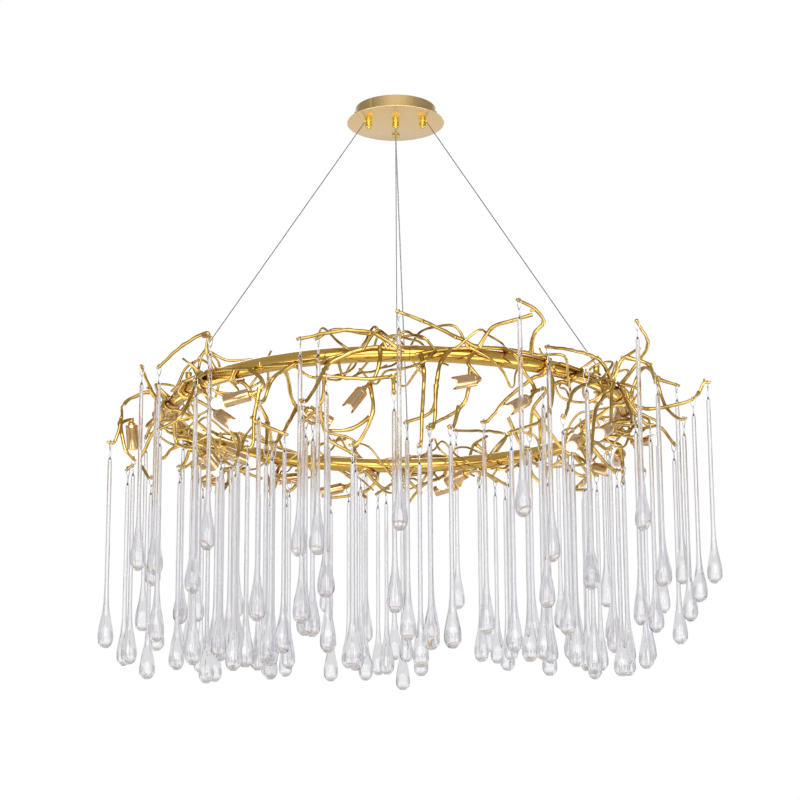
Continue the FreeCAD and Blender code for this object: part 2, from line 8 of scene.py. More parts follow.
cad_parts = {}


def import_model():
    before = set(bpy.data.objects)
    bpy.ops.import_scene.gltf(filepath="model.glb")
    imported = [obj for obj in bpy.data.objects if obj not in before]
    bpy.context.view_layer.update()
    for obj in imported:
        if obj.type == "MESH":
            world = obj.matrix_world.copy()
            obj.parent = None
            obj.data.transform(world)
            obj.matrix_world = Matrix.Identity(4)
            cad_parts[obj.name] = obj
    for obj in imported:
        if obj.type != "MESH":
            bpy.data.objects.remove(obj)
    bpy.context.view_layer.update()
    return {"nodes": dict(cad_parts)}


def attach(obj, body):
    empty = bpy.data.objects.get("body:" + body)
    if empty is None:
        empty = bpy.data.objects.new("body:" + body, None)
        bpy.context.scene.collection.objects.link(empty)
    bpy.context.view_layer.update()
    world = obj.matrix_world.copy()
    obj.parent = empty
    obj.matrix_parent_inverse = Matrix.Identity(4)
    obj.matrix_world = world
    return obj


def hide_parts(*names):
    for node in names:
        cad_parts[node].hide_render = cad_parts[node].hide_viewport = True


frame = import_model()
MM = 0.001
UP = Vector((0, 0, 1))
TWO_PI = 2 * math.pi

# Sizes in millimetres and angles in degrees
RING_RADIUS = 447.0
RING_DROP = 649.0
TUBE_RADIUS = 15.0
SECTION_COUNT = 10
MODULE_ANGLE = 360.0 / SECTION_COUNT
FIRST_ANGLE = -87.0
ANCHOR_ANGLES = {"left": -63.0, "right": 58.0, "rear": 180.0}
ANCHOR_HEIGHT = 21.0
LEAD_INLET_ANGLE = 177.0
INLET_HEIGHT = 12.0
TUBE_SEAT = 14.3
TUBE_CHAMFER = 0.9
TUBE_SIDES = 32
TUBE_STEPS = 30

# The castings. A bulge is its height and its width.
STEM_RADIUS = 3.8
STEM_SEAT = 20.4
STEM_END_GAP = 18.0
STEM_LENGTH = math.radians(MODULE_ANGLE) * RING_RADIUS - STEM_END_GAP
STEM_FULLNESS = 0.96
STEM_SWELL = 0.08
STEM_SAWN_SHARE = 0.75
STATION_STEPS = 14
QUARTER_TURN = 90
TWIG_RADIUS = 3.4
TIP_RADIUS = 2.6
TWIG_ROOT_STEP = 10.0
TWIG_SEAT = 22.5
TWIG_FULLNESS = 1.14
TWIG_SWELL = 0.09
KNOT_BULGE = (0.6, 5.0)
ROOT_BULGE = (1.5, 9.0)
BARE_TIP_BULGE = (0.8, 9.0)
SAWN_LIP = 0.7
SAWN_LIP_SHARE = 0.72
DRIFT = 0.7
DRIFT_SHIFT = 17
STRAIGHT_ROOT = 15
STRAIGHT_TIP = 14
TIP_FADE = 20
WAVES = 3
WAVE_LENGTHS = (24, 60)
PATH_STEP = 3.0
PEG_LENGTH = 13.0
PEG_HOOK_AT = 6.5
STEEP_TIP = 0.6
SOCKET_NECK = 8.0
SPUR_CHANCE = 0.22
SPUR_LENGTH = (6, 10)
SPUR_TAPER = (0.85, 0.7, 0.66, 0.45)
SPUR_LIP = 0.6
SPUR_OUTWARD = 0.8
SPUR_ONWARD = 0.6
BEND_REACH = 3
SLIGHT_BEND = 0.15

# The fine twigs, and the room that they leave for what hangs near them
CURL_COUNT = 7
CURL_TRIES = 60
CURL_RADII = (2.7, 2.1)
CURL_SWELL = 0.08
CURL_BULGE = (1.2, 7.0)
CURL_ROOTS = (0.1, 0.9)
CURL_BENDS = (3, 6)
CURL_RUN = (16, 36)
CURL_TURN = (22, 58)
CURL_REACH = (26.0, 60.0)
NEAR_REACH = 320.0
DROP_ROOM = 9.0
SWING_ROOM = 0.26
LAMP_ROOM = 17.0
LAMP_REACH = 78.0
WIRE_ROOM = 6.0
BOSS_ROOM = 14.0

# The glass drops. Where a size has shares, each one made is drawn between them.
HOOK_DROP = 12.0
GLASS_LENGTH = 388.0
GLASS_SIDES = 24
ROD_RADIUS = 4.2
ROD_SHARES = (0.94, 1.04)
BELLY_RADIUS = 15.4
BELLY_SHARES = (0.93, 1.02)
BELLY_HEIGHT = 20.0
HEIGHT_SHARES = (0.9, 1.04)
BELLY_SPREAD = 44.0
SPREAD_SHARES = (0.93, 1.05)
BELLY_CURVE = 1.9
FOOT_ROWS = 9
FOOT_DIMPLE = 0.5
DIMPLE_SHARES = (0.3, 1.0)
DIMPLE_ROWS = range(2, 8)
LOOP_DROP = 17.0
EYELET_DROP = 30.0
LOOP_PINCH = 0.22
LOOP_POINTS = 20
# A wire loop's top and foot over the hook's place, half its width and its wire's radius
HOOK_LOOP = (TIP_RADIUS + 2.2, -LOOP_DROP, 6.1, 0.8)
EYELET_LOOP = (1.9 - LOOP_DROP, -EYELET_DROP - 1.0, 2.3, 0.75)

# The canopy, the wires and the lead
PLATE_RADIUS = 100.0
PLATE_THICK = 2.0
DRUM_RADIUS = 82.5
DRUM_HEIGHT = 29.0
DRUM_SIDES = 128
SEAM_TURN = 234.0
SEAM_DEPTH = 1.2
PLATE_FACE = -DRUM_HEIGHT - PLATE_THICK
GRIPPER_X = {"left": -55.0, "rear": 0.0, "right": 55.0}
GRIPPER_Y = -29.0
GRIPPER_RADIUS = 7.0
GRIPPER_LENGTH = 20.0
WIRE_EXIT_DROP = 6.0
LEAD_Y = 69.0
LEAD_BEND = 5.0
BUSH_SHARE = 0.6
BUSH_THICK = 2.5
LEAD_RADIUS = 1.5
LEAD_STEPS = 60
CORE_RADIUS = 0.42
CORE_SIDE = 0.62
ROPE_RADIUS = 1.0
ROPE_GROOVE = 0.8
ROPE_CORNERS = 12
ROPE_STEP = 2.5
ROPE_TWIST = 0.35

BRANCH_SEED = 100
DROP_SEED = 500
CURL_SEED = 900

# The six shapes of branch: how the stem turns round the tube, in degrees from its outer side, and
# the twigs. A twig starts at a station, "stem 3", or at a point of an earlier twig, "twig 1 3",
# and has an end and points. A point is (along the ring, out from the tube's centre, up), or hugs
# the tube (along, degrees round it).
SHAPES = {
    "low_loop": ((20, 30, 20, 10, 5, -5), (
        ("stem 3", "drop", (72, 46, 30), (112, 72, 62)),
        ("stem 3", "swing", (26, 46, 34), (32, 92, 10), (80, 102, -46), (82, 116, -108)),
        ("twig 1 3", "drop", (86, 92, -128), (74, 72, -148)),
        ("stem 5", "drop", (112, 40, 24), (88, 36, 36)),
        ("stem 0", "drop", (-128, -20), (-126, -60), (-120, -100), (-110, -60, -62),
         (-76, -92, -108)),
        ("twig 4 4", "drop", (-150, -50, -148)),
        ("stem 1", "drop", (-96, 52, 10), (-130, 82, -20)),
        ("stem 1", "drop", (-66, 46, -30), (-86, 74, -80), (-100, 110, -112)),
        ("twig 7 2", "swing", (-50, 62, -122), (-28, 44, -158)),
        ("stem 4", "drop", (92, -25), (98, -65), (104, -105), (120, -58, -76), (94, -88, -122)),
        ("twig 9 4", "drop", (66, -40, -100), (48, -22, -148)),
        ("twig 1 3", "lamp", (62, 80, -52), (56, 76, -100)),
        ("twig 10 1", "lamp", (40, -60, -110), (0, -80, -130)),
    )),
    "crook": ((10, 20, 20, 15, -5, -30), (
        ("stem 3", "swing", (28, 34, 42), (46, 48, 68), (-10, 58, 58), (-78, 72, 28)),
        ("twig 0 2", "drop", (66, 58, 52)),
        ("stem 2", "swing", (0, 46, -40), (0, 72, -88), (-34, 94, -106)),
        ("twig 2 2", "drop", (-22, 60, -128), (30, 52, -152)),
        ("stem 5", "lamp", (162, 34, -48), (142, 44, -66), (100, 62, -76)),
        ("twig 4 1", "drop", (150, 44, -108), (146, 46, -166)),
        ("twig 5 1", "drop", (204, 22, -146)),
        ("stem 3", "drop", (50, 50, -6), (50, 84, -30)),
        ("stem 2", "lamp", (26, 30, -46), (60, 34, -86), (104, 42, -116)),
        ("stem 1", "drop", (-88, -20), (-84, -60), (-78, -100), (-62, -62, -56), (-84, -96, -94)),
        ("twig 9 4", "drop", (-22, -76, -104), (0, -58, -148)),
        ("stem 4", "drop", (78, -45), (72, -85), (74, -125), (92, -62, -82), (70, -98, -130)),
        ("twig 11 4", "drop", (118, -36, -148)),
    )),
    "long_arch": ((-25, -38, -35, -10, 20, 0), (
        ("stem 5", "drop", (85, 34, 26), (40, 50, 32), (-45, 60, 20)),
        ("twig 0 1", "drop", (10, 36, 38), (-22, 34, 24)),
        ("stem 3", "drop", (0, 30, -24), (-8, 56, -60), (-22, 84, -104)),
        ("twig 2 1", "drop", (-12, -75), (-20, -110), (-32, -30, -74), (-80, -46, -106)),
        ("twig 3 3", "swing", (-35, -70, -135), (25, -100, -165)),
        ("stem 4", "lamp", (88, 28, -25), (78, 30, -56), (60, 42, -80), (45, 62, -110)),
        ("stem 5", "drop", (120, 34, -46), (80, 50, -60), (4, 78, -58)),
        ("twig 5 2", "swing", (78, 44, -120), (50, 40, -178)),
        ("twig 7 1", "drop", (40, 36, -148), (-2, 42, -150)),
        ("twig 6 1", "drop", (112, 31, -80)),
        ("stem 1", "drop", (-90, -70), (-96, -110), (-110, -56, -64), (-92, -90, -96)),
        ("twig 10 3", "drop", (-120, -6, -150)),
        ("stem 1", "drop", (-94, 46, -44), (-104, 64, -90)),
        ("twig 10 3", "lamp", (-84, -66, -78), (-40, -90, -100)),
    )),
    "high_hook": ((-20, 10, 35, 55, 50, 25), (
        ("stem 2", "drop", (-62, 30, 26), (-120, 52, 46), (-165, 70, 60)),
        ("stem 4", "drop", (78, 44, 46), (86, 60, 62), (64, 72, 80), (25, 84, 90)),
        ("stem 2", "bare", (0, 36, 46), (35, 46, 62), (62, 64, 72)),
        ("stem 3", "lamp", (42, 38, 0), (60, 36, -30), (75, 44, -60), (56, 52, -86), (8, 66, -118)),
        ("stem 2", "lamp", (-42, 32, -22), (-32, 44, -56), (-80, 62, -72)),
        ("stem 1", "drop", (-88, 26, -22), (-95, 28, -55), (-100, 2, -106), (-150, -34, -122)),
        ("twig 5 2", "drop", (-104, 28, -146)),
        ("stem 0", "drop", (-118, 32, -40), (-120, 14, -120), (-122, 6, -172)),
        ("twig 4 1", "drop", (-46, 14, -95), (-104, -36, -128)),
        ("twig 8 1", "drop", (-68, 22, -142)),
        ("stem 5", "drop", (120, 34, -58), (96, 42, -112), (24, 44, -150)),
        ("twig 10 2", "swing", (100, 22, -152)),
        ("twig 3 3", "drop", (72, 84, -70)),
        ("stem 5", "swing", (124, -15), (118, -60), (112, -105), (84, -62, -56), (60, -98, -92)),
        ("twig 13 4", "drop", (128, -62, -142)),
    )),
    "tall_fork": ((15, 5, -10, 15, 40, 25), (
        ("stem 3", "drop", (-40, 36, 28), (-125, 46, 26), (-186, 51, 20)),
        ("stem 4", "swing", (104, 50, 62), (74, 78, 82), (-15, 102, 100)),
        ("stem 3", "bare", (36, 42, 46), (58, 68, 72)),
        ("stem 2", "drop", (-60, 30, -20), (-105, 30, -44), (-160, 64, -112)),
        ("stem 2", "swing", (-20, 30, -34), (-68, 46, -78), (-104, 64, -176)),
        ("stem 3", "lamp", (6, 24, -92), (-60, 38, -125)),
        ("stem 4", "drop", (62, 30, -12), (42, 58, -66)),
        ("twig 6 1", "drop", (76, 70, -74)),
        ("twig 2 1", "drop", (50, 88, 34), (42, 104, 2)),
        ("stem 5", "drop", (124, -15), (118, -60), (112, -105), (92, -60, -68), (110, -94, -110)),
        ("twig 9 4", "drop", (138, -14, -142)),
        ("stem 1", "drop", (-88, -35), (-94, -80), (-104, -115), (-120, -60, -60),
         (-92, -94, -100)),
        ("twig 11 4", "drop", (-62, -24, -148)),
        ("stem 1", "drop", (-100, 52, -6), (-128, 86, -30)),
        ("twig 9 4", "lamp", (60, -70, -90), (20, -60, -110)),
    )),
    "wide_reach": ((25, 15, 15, 25, 5, -5), (
        ("stem 0", "swing", (-112, 44, 66), (-72, 64, 66), (-75, 86, -5), (-90, 114, -52)),
        ("twig 0 2", "drop", (-60, 114, 44)),
        ("stem 1", "drop", (-74, 52, -8), (-82, 144, 12), (-84, 162, 40)),
        ("twig 2 2", "drop", (-120, 140, -8)),
        ("stem 3", "drop", (-10, 40, -40), (-66, 72, -62), (-30, 104, -106)),
        ("stem 4", "drop", (92, 50, 34), (96, 112, 20)),
        ("stem 4", "swing", (96, 48, -30), (120, 74, -78), (136, 92, -110)),
        ("twig 6 2", "drop", (44, 48, -158)),
        ("stem 2", "drop", (-34, -25), (-40, -65), (-46, -105), (-66, -62, -70), (-44, -94, -114)),
        ("twig 8 4", "drop", (-104, -30, -142)),
        ("stem 4", "drop", (86, -25), (84, -65), (80, -105), (66, -62, -62), (90, -96, -106)),
        ("twig 10 4", "drop", (118, -24, -146)),
        ("twig 6 1", "lamp", (60, 62, -50), (20, 68, -66)),
        ("twig 10 4", "lamp", (30, -58, -84), (-10, -52, -104)),
    )),
}

# The ten branches in order round the ring, each with the way it faces and the share of its
# shape's depth that its low twigs reach down to
BRANCHES = (
    ("low_loop", 1, 0.8), ("crook", 1, 1.0), ("long_arch", 1, 1.0), ("high_hook", 1, 1.0),
    ("tall_fork", 1, 1.0), ("wide_reach", 1, 0.65), ("crook", -1, 0.6), ("tall_fork", -1, 0.45),
    ("high_hook", -1, 0.45), ("long_arch", -1, 0.5),
)


# Places on the ring

def on_ring(angle, out, up):
    """A point at an angle round the ring, out from and above the tube's centre line."""
    reach = RING_RADIUS + out
    turn = math.radians(angle)
    return Vector((reach * math.sin(turn), -reach * math.cos(turn), up - RING_DROP))


def round_tube(reach, turn):
    """How far out and up a point lies that is turned round the tube from its outer side."""
    way = math.radians(turn)
    return reach * math.cos(way), reach * math.sin(way)


def local_point(angle, facing, place):
    """A branch's point: along the ring, out and up, or along it and turned round the tube."""
    along, *rest = place
    out, up = rest if len(rest) == 2 else round_tube(TWIG_SEAT, *rest)
    return on_ring(angle + facing * math.degrees(along / RING_RADIUS), out, up)


def stem_point(angle, facing, share, turn):
    """A point of the stem, at a share of its length and turned round the tube."""
    along = STEM_LENGTH * (share - 0.5)
    return local_point(angle, facing, (along, *round_tube(STEM_SEAT, turn)))


def past(path, index):
    """A root a little along from a bend of the path."""
    onward = path[index + 1] if index + 1 < len(path) else path[index - 1]
    return path[index] + (onward - path[index]).normalized() * TWIG_ROOT_STEP


def drawn_up(place, depth):
    """A twig's point, at that share of its depth where it lies below the tube's centre."""
    if len(place) == 2 or place[2] > 0:
        return place
    along, out, up = place
    return along, out, up * depth


def twig_root(start, stem, paths):
    """Where a twig grows from, as its shape's text names it."""
    _, *twig, station = start.split()
    return past(paths[int(twig[0])] if twig else stem, int(station))


def branch_layout(index):
    """The stem's turns, and the twigs, drops and lamps of one branch."""
    shape, facing, depth = BRANCHES[index]
    angle = FIRST_ANGLE + index * MODULE_ANGLE
    wind, twigs = SHAPES[shape]
    last = len(wind) - 1
    stem = [stem_point(angle, facing, i / last, turn) for i, turn in enumerate(wind)]
    paths = []
    drops = []
    lamps = []
    ends = []
    for start, end, *places in twigs:
        path = [twig_root(start, stem, paths)]
        path.extend(local_point(angle, facing, drawn_up(place, depth)) for place in places)
        if end == "lamp":
            aim = path.pop()
            back = path.pop()
            way = (aim - back).normalized()
            lamps.append((back, way))
            path.extend([back - way * SOCKET_NECK, back])
        if end in ("drop", "swing"):
            run = path[-1] - path[-2]
            way = Vector((run.x, run.y, 0)).normalized()
            if abs(run.z) > STEEP_TIP * run.length:
                path.append(path[-1] + way * PEG_LENGTH)
            hook = path[-1] - (path[-1] - path[-2]).normalized() * PEG_HOOK_AT
            drops.append((hook, way, end))
        paths.append(path)
        ends.append(end)
    return {"angle": angle, "facing": facing, "wind": wind, "paths": paths, "ends": ends,
            "drops": drops, "lamps": lamps}


# Mesh making

def new_object(name, data):
    thing = bpy.data.objects.new(name, data)
    bpy.context.scene.collection.objects.link(thing)
    return thing


class Shell:
    """Faces of one piece, gathered in millimetres and made into an object in metres."""

    def __init__(self):
        self.points = []
        self.faces = []
        self.slots = []

    def add(self, points, faces, slot=0):
        base = len(self.points)
        self.points.extend(points)
        self.faces.extend(tuple(base + i for i in face) for face in faces)
        self.slots.extend([slot] * len(faces))

    def make(self, name, materials, node, body="root", sharp=None):
        """Makes the piece that takes a CAD node's place and its finish, and rides on its body."""
        mesh = bpy.data.meshes.new(name)
        mesh.from_pydata([p * MM for p in self.points], [], self.faces)
        for material in materials:
            mesh.materials.append(material)
        mesh.polygons.foreach_set("material_index", self.slots)
        mesh.polygons.foreach_set("use_smooth", [True] * len(self.faces))
        if sharp:
            mesh.set_sharp_from_angle(angle=math.radians(sharp))
        mesh.update()
        piece = new_object(name, mesh)
        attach(piece, body)
        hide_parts(node)


def curve_through(points, step):
    """A smooth path through the points, in steps of about the given length."""
    first = points[0] * 2 - points[1]
    last = points[-1] * 2 - points[-2]
    knots = [first, *points, last]
    path = []
    for a, b, c, d in zip(knots, knots[1:], knots[2:], knots[3:]):
        count = max(2, round((c - b).length / step))
        path.extend(between(a, b, c, d, i / count) for i in range(count))
    path.append(points[-1].copy())
    return path


def between(a, b, c, d, share):
    """A point between b and c on the centripetal curve through four points."""
    t1 = (b - a).length ** 0.5
    t2 = t1 + (c - b).length ** 0.5
    t3 = t2 + (d - c).length ** 0.5
    t = t1 + (t2 - t1) * share
    ab = a.lerp(b, t / t1)
    bc = b.lerp(c, (t - t1) / (t2 - t1))
    cd = c.lerp(d, (t - t2) / (t3 - t2))
    abc = ab.lerp(bc, t / t2)
    bcd = bc.lerp(cd, (t - t1) / (t3 - t1))
    return abc.lerp(bcd, (t - t1) / (t2 - t1))


def round_point(centre, side, other, turn, radius):
    return centre + (side * math.cos(turn) + other * math.sin(turn)) * radius


def round_row(centre, side, other, radius, sides):
    return [round_point(centre, side, other, TWO_PI * k / sides, radius) for k in range(sides)]


def tube_faces(rows, sides, closed=False):
    """Faces between rows of points, capped at both ends unless the rows close on themselves."""
    faces = []
    for i in range(rows if closed else rows - 1):
        row = i * sides
        onward = (i + 1) % rows * sides
        for k in range(sides):
            j = (k + 1) % sides
            faces.append((row + k, row + j, onward + j, onward + k))
    if not closed:
        faces.append(tuple(reversed(range(sides))))
        faces.append(tuple(range((rows - 1) * sides, rows * sides)))
    return faces


def sweep(shell, path, radii, sides, slot=0, closed=False, across=None):
    """A round skin along a path, capped at both ends unless it closes on itself."""
    count = len(path)
    points = []
    side = across
    for i, point in enumerate(path):
        if closed:
            tangent = path[(i + 1) % count] - path[i - 1]
        else:
            tangent = path[min(i + 1, count - 1)] - path[max(i - 1, 0)]
        tangent = tangent.normalized()
        if side is None:
            side = tangent.orthogonal()
        side = (side - tangent * side.dot(tangent)).normalized()
        other = tangent.cross(side)
        points.extend(round_row(point, side, other, radii[i], sides))
    shell.add(points, tube_faces(count, sides, closed), slot)


def lathe(shell, profile, sides, foot=None, axis=UP, slot=0, across=None):
    """A turned form: profile holds (radius, height) pairs, a radius of 0 closes an end."""
    foot = foot or Vector((0, 0, 0))
    upright = abs(axis.z) > 0.999
    side = across or (Vector((1, 0, 0)) if upright else axis.orthogonal())
    side = (side - axis * side.dot(axis)).normalized()
    other = axis.cross(side)
    points = []
    rows = []
    for radius, height in profile:
        centre = foot + axis * height
        if radius == 0:
            rows.append([len(points)])
            points.append(centre)
            continue
        rows.append(list(range(len(points), len(points) + sides)))
        points.extend(round_row(centre, side, other, radius, sides))
    faces = []
    for low, high in zip(rows, rows[1:]):
        for k in range(sides):
            j = (k + 1) % sides
            if len(low) == 1 and len(high) > 1:
                faces.append((low[0], high[j], high[k]))
            elif len(high) == 1 and len(low) > 1:
                faces.append((low[k], low[j], high[0]))
            elif len(low) > 1:
                faces.append((low[k], low[j], high[j], high[k]))
    shell.add(points, faces, slot)


# Materials

def new_material(name):
    material = bpy.data.materials.new(name)
    material.use_nodes = True
    nodes = material.node_tree.nodes
    shader = nodes["Principled BSDF"]
    return material, nodes, material.node_tree.links, shader


def noise(nodes, links, scale, detail, stretch=(1, 1, 1)):
    """Noise in the object's own metres, drawn out along an axis by a small stretch value."""
    place = nodes.new("ShaderNodeTexCoord")
    mapping = nodes.new("ShaderNodeMapping")
    mapping.inputs["Scale"].default_value = stretch
    texture = nodes.new("ShaderNodeTexNoise")
    texture.inputs["Scale"].default_value = scale
    texture.inputs["Detail"].default_value = detail
    links.new(place.outputs["Object"], mapping.inputs["Vector"])
    links.new(mapping.outputs["Vector"], texture.inputs["Vector"])
    return texture.outputs["Fac"]


def ramp(nodes, links, source, stops):
    """A colour ramp over stops of (position, colour)."""
    node = nodes.new("ShaderNodeValToRGB")
    elements = node.color_ramp.elements
    while len(elements) < len(stops):
        elements.new(0.5)
    for element, (position, colour) in zip(elements, stops):
        element.position = position
        element.color = (*colour, 1)
    links.new(source, node.inputs["Fac"])
    return node.outputs["Color"]


def feed(links, socket, value):
    """Sets a socket to a number, or links another node's output to it."""
    if isinstance(value, (int, float)):
        socket.default_value = value
    else:
        links.new(value, socket)


def math_node(nodes, links, operation, *values):
    node = nodes.new("ShaderNodeMath")
    node.operation = operation
    for socket, value in zip(node.inputs, values):
        feed(links, socket, value)
    return node.outputs[0]


def remap(nodes, links, value, limits, results, smooth=False):
    """Maps a value between two limits to a range of results."""
    node = nodes.new("ShaderNodeMapRange")
    if smooth:
        node.interpolation_type = "SMOOTHSTEP"
    names = ("From Min", "From Max", "To Min", "To Max")
    for name, number in zip(names, (*limits, *results)):
        node.inputs[name].default_value = number
    links.new(value, node.inputs["Value"])
    return node.outputs["Result"]


def spread(nodes, links, source, results):
    """Maps a noise to a range of results, by the middle values where it mostly lies."""
    return remap(nodes, links, source, (0.3, 0.7), results)


def bump(nodes, links, shader, source, distance, under=None):
    node = nodes.new("ShaderNodeBump")
    node.inputs["Distance"].default_value = distance
    links.new(source, node.inputs["Height"])
    if under:
        links.new(under.outputs["Normal"], node.inputs["Normal"])
    links.new(node.outputs["Normal"], shader.inputs["Normal"])
    return node


HAMMERED_SCALE = 0.22
FINE_RELIEF = 0.25


def gold(name, light, dark, roughness, grain, relief, cloud=9.0):
    """Gold plate: two tones in slow clouds, with a fine grain that bends its highlights."""
    material, nodes, links, shader = new_material(name)
    shader.inputs["Metallic"].default_value = 1.0
    slow = noise(nodes, links, cloud, detail=3)
    tones = ramp(nodes, links, slow, ((0.35, dark), (0.62, light)))
    links.new(tones, shader.inputs["Base Color"])
    fine = noise(nodes, links, grain, detail=4)
    links.new(spread(nodes, links, fine, roughness), shader.inputs["Roughness"])
    first = bump(nodes, links, shader, fine, relief * FINE_RELIEF)
    hammered = noise(nodes, links, grain * HAMMERED_SCALE, detail=2)
    bump(nodes, links, shader, hammered, relief, under=first)
    return material


def brushed(name, light, dark, roughness, scale, relief, stretch=(1, 1, 1)):
    """Metal with fine marks, which a small stretch draws out to lines along one axis."""
    material, nodes, links, shader = new_material(name)
    shader.inputs["Metallic"].default_value = 1.0
    lines = noise(nodes, links, scale, 3, stretch)
    tones = ramp(nodes, links, lines, ((0.3, dark), (0.7, light)))
    links.new(tones, shader.inputs["Base Color"])
    links.new(spread(nodes, links, lines, roughness), shader.inputs["Roughness"])
    bump(nodes, links, shader, lines, relief)
    return material


def see_through(name, tint, ior, roughness, scale, stretch=(1, 1, 1), relief=None):
    """Clear glass or plastic, with soft ripples that a small stretch draws out."""
    material, nodes, links, shader = new_material(name)
    shader.inputs["Base Color"].default_value = (*tint, 1)
    shader.inputs["Transmission Weight"].default_value = 1.0
    shader.inputs["IOR"].default_value = ior
    ripple = noise(nodes, links, scale, 2, stretch)
    links.new(spread(nodes, links, ripple, roughness), shader.inputs["Roughness"])
    if relief:
        bump(nodes, links, shader, ripple, relief)
    return material


def lit_bulb():
    """A frosted bulb that is on: white light, a little warmer where its frosting is thick."""
    material, nodes, links, shader = new_material("frosted_bulb")
    shader.inputs["Base Color"].default_value = (0.5, 0.49, 0.47, 1)
    shader.inputs["Roughness"].default_value = 0.5
    frosting = noise(nodes, links, 120, 2)
    glow = ramp(nodes, links, frosting, ((0.2, (1.0, 0.93, 0.82)), (0.8, (1.0, 0.98, 0.94))))
    links.new(glow, shader.inputs["Emission Color"])
    shader.inputs["Emission Strength"].default_value = 0.62
    return material


def moulded_plastic(name, light, dark):
    material, nodes, links, shader = new_material(name)
    grain = noise(nodes, links, 500, 3)
    links.new(ramp(nodes, links, grain, ((0.3, dark), (0.7, light))), shader.inputs["Base Color"])
    shader.inputs["Roughness"].default_value = 0.45
    bump(nodes, links, shader, grain, 0.0001)
    return material


TWIG_GOLD = gold("twig_gold", light=(0.575, 0.39, 0.115), dark=(0.34, 0.205, 0.04),
                 roughness=(0.07, 0.12), grain=300, relief=0.000008, cloud=20)
TUBE_GOLD = gold("tube_gold", light=(0.6, 0.385, 0.1), dark=(0.53, 0.325, 0.07),
                 roughness=(0.1, 0.14), grain=250, relief=0.000003, cloud=4)
PLATE_GOLD = gold("plate_gold", light=(0.76, 0.545, 0.27), dark=(0.73, 0.515, 0.255),
                  roughness=(0.24, 0.28), grain=200, relief=0.000004, cloud=5)
# The drum is the same gold as the disc, given a darker base colour: painted shade on its side.
DRUM_GOLD_PAINTED_SHADE = gold("drum_gold_painted_shade", light=(0.43, 0.3, 0.135), dark=(0.39, 0.265, 0.115),
                 roughness=(0.48, 0.54), grain=200, relief=0.000004, cloud=5)
FITTING_GOLD = gold("fitting_gold", light=(0.66, 0.49, 0.1), dark=(0.56, 0.4, 0.07),
                    roughness=(0.08, 0.13), grain=300, relief=0.000006)
ROSE_METAL = brushed("rose_metal", light=(0.7, 0.47, 0.25), dark=(0.5, 0.32, 0.16),
                     roughness=(0.07, 0.12), scale=500, relief=0.00001)
SILVER_WIRE = brushed("silver_wire", light=(0.56, 0.56, 0.58), dark=(0.42, 0.42, 0.44),
                      roughness=(0.12, 0.22), scale=900, relief=0.00002)
STEEL_ROPE = brushed("steel_rope", light=(0.3, 0.28, 0.26), dark=(0.16, 0.15, 0.14),
                     roughness=(0.35, 0.5), scale=900, relief=0.00008, stretch=(1, 1, 0.2))
ZINC_STEEL = brushed("zinc_steel", light=(0.62, 0.63, 0.64), dark=(0.45, 0.46, 0.48),
                     roughness=(0.3, 0.45), scale=300, relief=0.0001, stretch=(0.1, 1, 1))
WHITE_PLASTIC = moulded_plastic("white_plastic", light=(0.84, 0.84, 0.82), dark=(0.78, 0.78, 0.76))
GLASS = see_through("clear_glass", tint=(0.84, 0.83, 0.855), ior=1.5, roughness=(0.0, 0.035),
                    scale=90, stretch=(1, 1, 0.12), relief=0.0009)
LEAD_PLASTIC = see_through("clear_plastic", tint=(0.93, 0.93, 0.92), ior=1.4,
                           roughness=(0.08, 0.2), scale=400)
BULB_LIGHT = lit_bulb()


# Branches

def wobble(rng):
    """A slow random drift along a length in millimetres, about -1 to 1."""
    waves = [(rng.uniform(*WAVE_LENGTHS), rng.uniform(0, TWO_PI)) for _ in range(WAVES)]
    return lambda s: sum(math.sin(TWO_PI * s / length + phase) for length, phase in waves) / WAVES


def lengths_along(path):
    total = 0.0
    along = [0.0]
    for a, b in zip(path, path[1:]):
        total += (b - a).length
        along.append(total)
    return along


def knuckle(distance, height, width):
    return height * math.exp(-((distance / width) ** 2))


def twig(shell, points, rng, end):
    """One twig: it flares out of its root, swells at its knuckles and ends in a sawn face."""
    path = curve_through(points, PATH_STEP)
    along = lengths_along(path)
    total = along[-1]
    drift = wobble(rng)
    swell = wobble(rng)
    knots = [min(range(len(path)), key=lambda i: (path[i] - p).length) for p in points[1:-1]]
    side = (path[-1] - path[0]).orthogonal().normalized()
    other = (path[-1] - path[0]).normalized().cross(side)
    radii = []
    for i, s in enumerate(along):
        radius = TWIG_RADIUS + (TIP_RADIUS - TWIG_RADIUS) * s / total
        radius *= TWIG_FULLNESS + TWIG_SWELL * swell(s)
        radius += sum(knuckle(s - along[k], *KNOT_BULGE) for k in knots)
        radius += knuckle(s, *ROOT_BULGE)
        if end == "bare":
            radius += knuckle(total - s, *BARE_TIP_BULGE)
        radii.append(radius)
        hold = min(1.0, s / STRAIGHT_ROOT, max(0.0, total - s - STRAIGHT_TIP) / TIP_FADE)
        path[i] = path[i] + (side * drift(s) + other * drift(s + DRIFT_SHIFT)) * (DRIFT * hold)
    lip = (path[-1] - path[-2]).normalized()
    path.append(path[-1] + lip * SAWN_LIP)
    radii.append(radii[-1] * SAWN_LIP_SHARE)
    sweep(shell, path, radii, sides=14)
    for k in knots:
        if rng.random() < SPUR_CHANCE:
            spur(shell, path, k, radii[k], rng)


